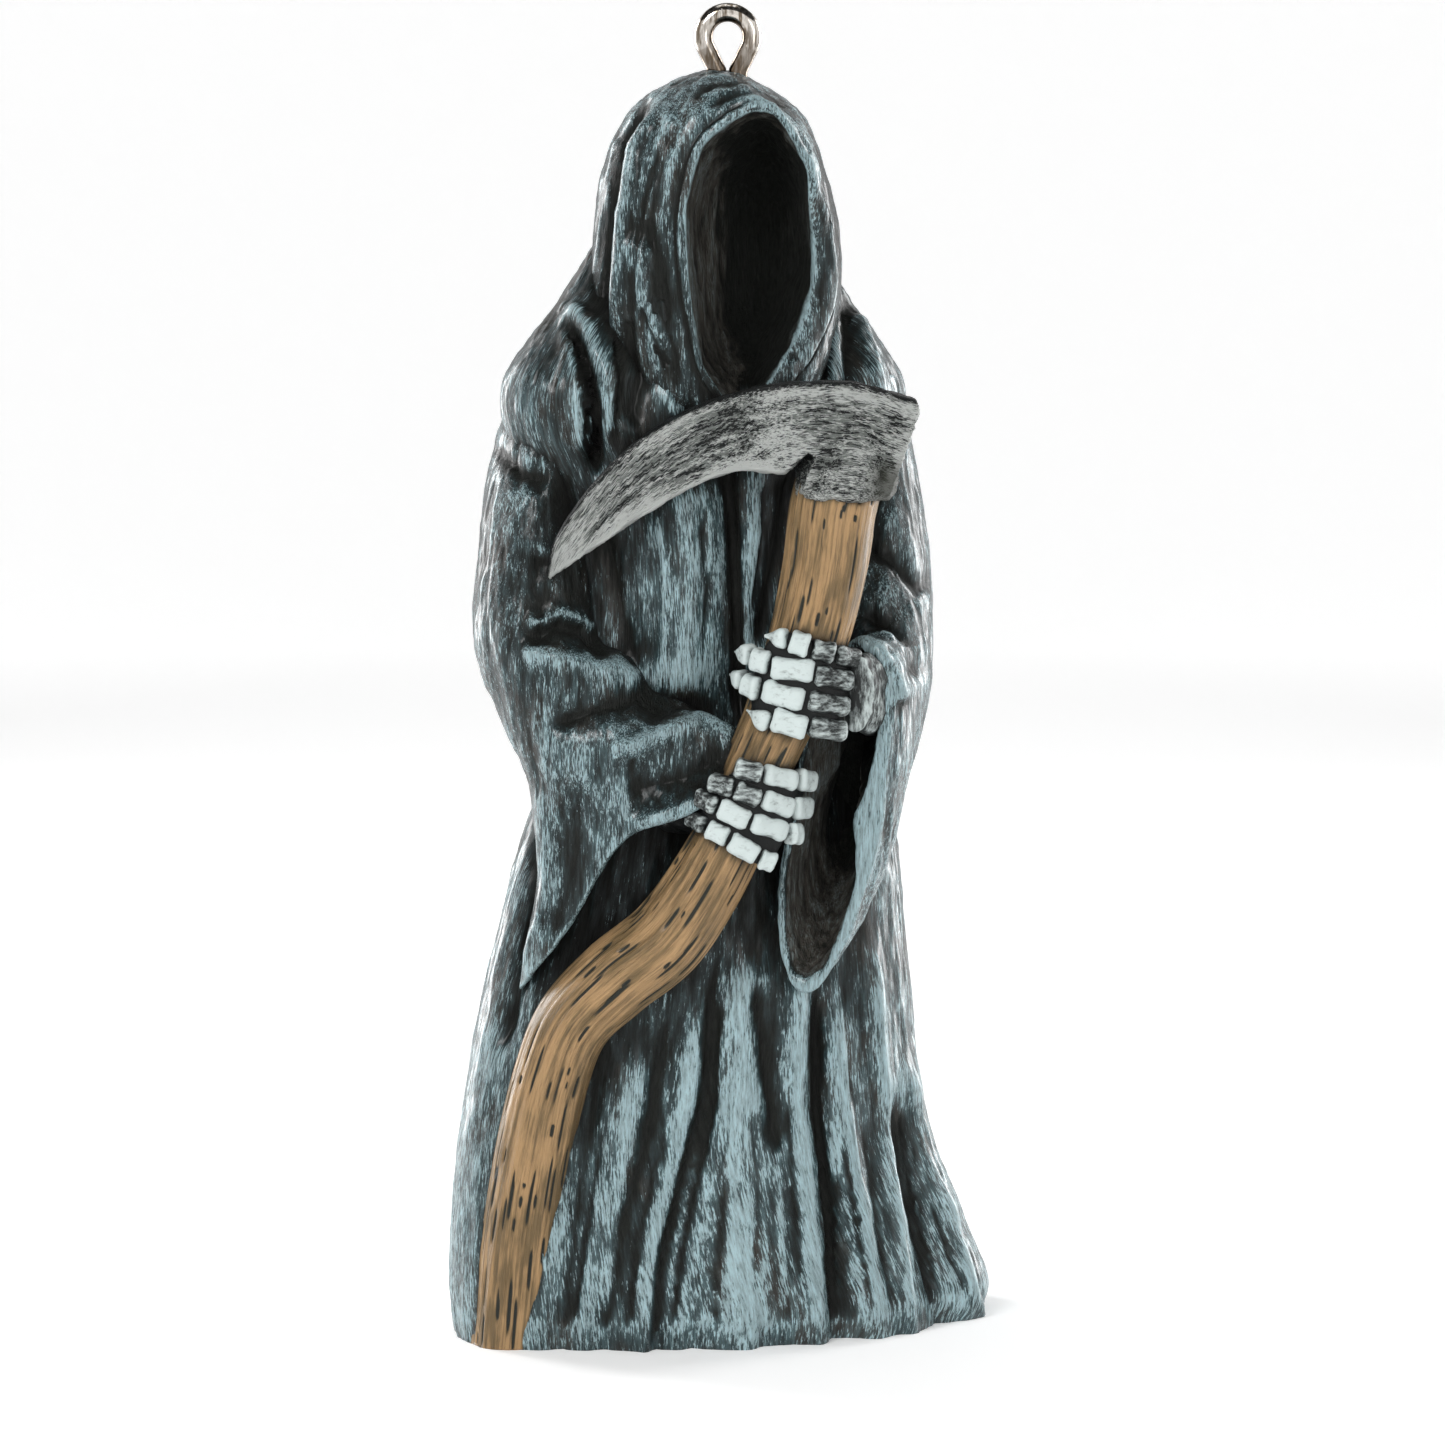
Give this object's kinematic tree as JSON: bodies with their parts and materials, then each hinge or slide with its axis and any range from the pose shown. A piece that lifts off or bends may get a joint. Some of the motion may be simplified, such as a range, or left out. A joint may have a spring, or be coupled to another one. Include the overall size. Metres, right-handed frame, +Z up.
{
  "type": "grim reaper figurine",
  "caption": "Small cast figure of a hooded, empty-faced reaper in a long robe, gripping a scythe with bone hands, with a wire loop in the crown to hang it by.",
  "frame": {"origin": "on the flat underside, under the middle of the figure", "axes": "+Z up through the crown, -Y out of the figure's front, +X to the figure's left hand"},
  "size_m": [0.0451, 0.0303, 0.1052],
  "materials": {
    "painted_resin": "cast resin painted near black and dry-brushed slate blue, with a light satin varnish",
    "bright_wire": "polished nickel-plated steel wire"
  },
  "bodies": {
    "root": {"figure": "painted_resin", "hanging_loop": "bright_wire"}
  },
  "joints": []
}
